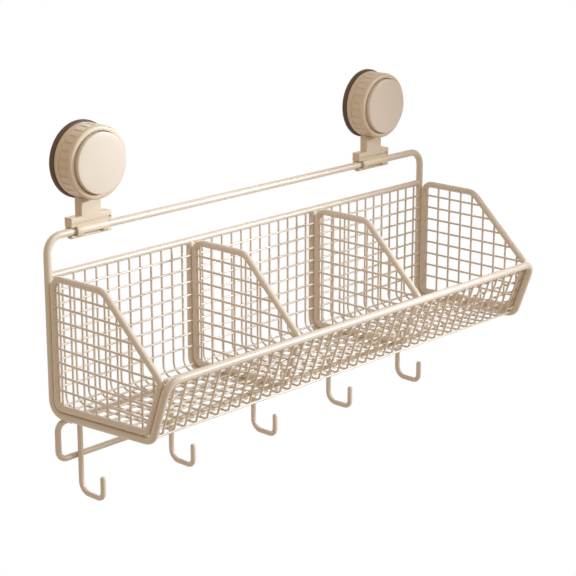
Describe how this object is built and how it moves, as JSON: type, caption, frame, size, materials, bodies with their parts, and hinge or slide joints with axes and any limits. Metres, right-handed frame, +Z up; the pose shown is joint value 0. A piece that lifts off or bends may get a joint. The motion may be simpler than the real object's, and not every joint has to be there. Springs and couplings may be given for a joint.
{
  "type": "hanging wire basket",
  "caption": "Cream wire storage basket with mesh dividers, a rail of sliding hooks under it, and twist-lock suction cups that clip on its top bar.",
  "frame": {"origin": "on the wall plane, midway between the centres of the two suction pads", "axes": "+X to the right along the top bar as the user faces the wall, +Y into the wall, +Z up"},
  "size_m": [0.4099, 0.1282, 0.2608],
  "materials": {
    "coated_wire": "satin cream powder coat",
    "cup_plastic": "satin moulded",
    "disc_plastic": "smooth moulded",
    "post_plastic": "plain moulded",
    "pad_rubber": "dark brown, soft"
  },
  "bodies": {
    "left_cup": {"suction_pad_left": "pad_rubber", "bracket_left": "cup_plastic"},
    "left_knob": {"knob_left": "cup_plastic", "front_disc_left": "disc_plastic"},
    "left_post": {"post_left": "post_plastic"},
    "basket": {"main_frame": "coated_wire", "back_rail": "coated_wire", "rib_left": "coated_wire", "rib_right": "coated_wire", "end_panel_left": "coated_wire", "end_panel_right": "coated_wire", "divider_left": "coated_wire", "divider_right": "coated_wire", "mesh_warp_left": "coated_wire", "mesh_back_left": "coated_wire", "mesh_floor_left": "coated_wire", "mesh_front_left": "coated_wire", "mesh_warp_middle": "coated_wire", "mesh_back_middle": "coated_wire", "mesh_floor_middle": "coated_wire", "mesh_front_middle": "coated_wire", "mesh_warp_right": "coated_wire", "mesh_back_right": "coated_wire", "mesh_floor_right": "coated_wire", "mesh_front_right": "coated_wire", "hook_rail": "coated_wire"},
    "hook_1": {"hook_1": "coated_wire"},
    "hook_2": {"hook_2": "coated_wire"},
    "hook_3": {"hook_3": "coated_wire"},
    "hook_4": {"hook_4": "coated_wire"},
    "hook_5": {"hook_5": "coated_wire"},
    "right_cup": {"suction_pad_right": "pad_rubber", "bracket_right": "cup_plastic"},
    "right_knob": {"knob_right": "cup_plastic", "front_disc_right": "disc_plastic"},
    "right_post": {"post_right": "post_plastic"}
  },
  "joints": [
    {"name": "left_knob_twist", "type": "hinge", "parent": "left_cup", "child": "left_knob", "pos_m": [-0.14975, -0.0145, 0], "axis": [0, 1, 0], "range_deg": [0, 180]},
    {"name": "left_post_pull", "type": "slide", "parent": "left_cup", "child": "left_post", "axis": [0, -1, 0], "range_m": [0, 0.0025]},
    {"name": "basket_swing", "type": "hinge", "parent": "left_cup", "child": "basket", "pos_m": [0.01225, -0.008, -0.0474], "axis": [-1, 0, 0], "range_deg": [0, 90]},
    {"name": "right_cup_stay", "type": "hinge", "parent": "basket", "child": "right_cup", "pos_m": [0.01225, -0.008, -0.0474], "axis": [-1, 0, 0], "range_deg": [-90, 0]},
    {"name": "right_knob_twist", "type": "hinge", "parent": "right_cup", "child": "right_knob", "pos_m": [0.14975, -0.0145, 0], "axis": [0, 1, 0], "range_deg": [0, 180]},
    {"name": "right_post_pull", "type": "slide", "parent": "right_cup", "child": "right_post", "axis": [0, -1, 0], "range_m": [0, 0.0025]},
    {"name": "hook_1_slide", "type": "slide", "parent": "basket", "child": "hook_1", "axis": [1, 0, 0], "range_m": [-0.006, 0.038]},
    {"name": "hook_2_slide", "type": "slide", "parent": "basket", "child": "hook_2", "axis": [1, 0, 0], "range_m": [-0.038, 0.028]},
    {"name": "hook_3_slide", "type": "slide", "parent": "basket", "child": "hook_3", "axis": [1, 0, 0], "range_m": [-0.038, 0.038]},
    {"name": "hook_4_slide", "type": "slide", "parent": "basket", "child": "hook_4", "axis": [1, 0, 0], "range_m": [-0.0015, 0.038]},
    {"name": "hook_5_slide", "type": "slide", "parent": "basket", "child": "hook_5", "axis": [1, 0, 0], "range_m": [-0.038, 0.03]}
  ],
  "couplings": [
    {"joint": "left_post_pull", "follows": "left_knob_twist", "m_per_rad": 0.000795},
    {"joint": "right_cup_stay", "follows": "basket_swing", "ratio": -1},
    {"joint": "right_post_pull", "follows": "right_knob_twist", "m_per_rad": 0.000795}
  ]
}
